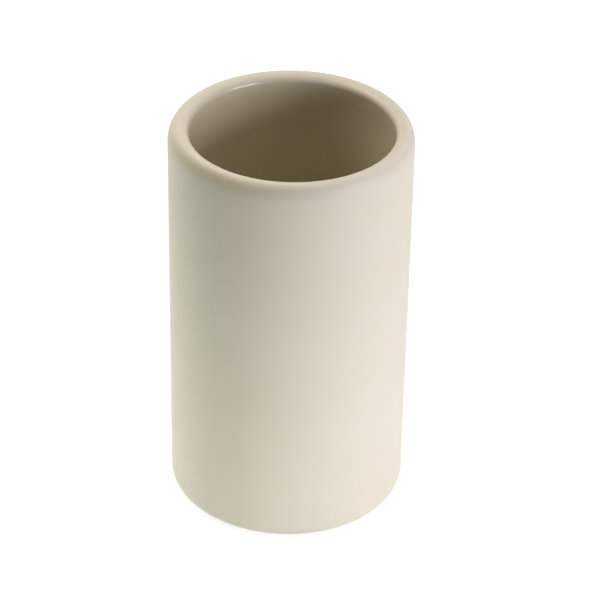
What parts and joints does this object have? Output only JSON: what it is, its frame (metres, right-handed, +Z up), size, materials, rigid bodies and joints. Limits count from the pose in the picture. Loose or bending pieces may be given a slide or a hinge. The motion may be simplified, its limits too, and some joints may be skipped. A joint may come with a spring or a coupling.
{
  "type": "toothbrush holder",
  "caption": "Open cylindrical tumbler of cream-glazed stoneware with a thick rounded lip, a foot ring and small anti-slip pads, for standing toothbrushes in.",
  "frame": {"origin": "middle of the surface that the pads stand on, on the tumbler's axis", "axes": "+Z up along the tumbler's axis, towards the mouth; -Y towards the pad at the front"},
  "size_m": [0.066, 0.066, 0.1139],
  "materials": {
    "cream_glaze": "satin",
    "milky_silicone": "matte"
  },
  "bodies": {
    "root": {"tumbler_body": "cream_glaze", "anti_slip_pad_1": "milky_silicone", "anti_slip_pad_2": "milky_silicone", "anti_slip_pad_3": "milky_silicone"}
  },
  "joints": []
}
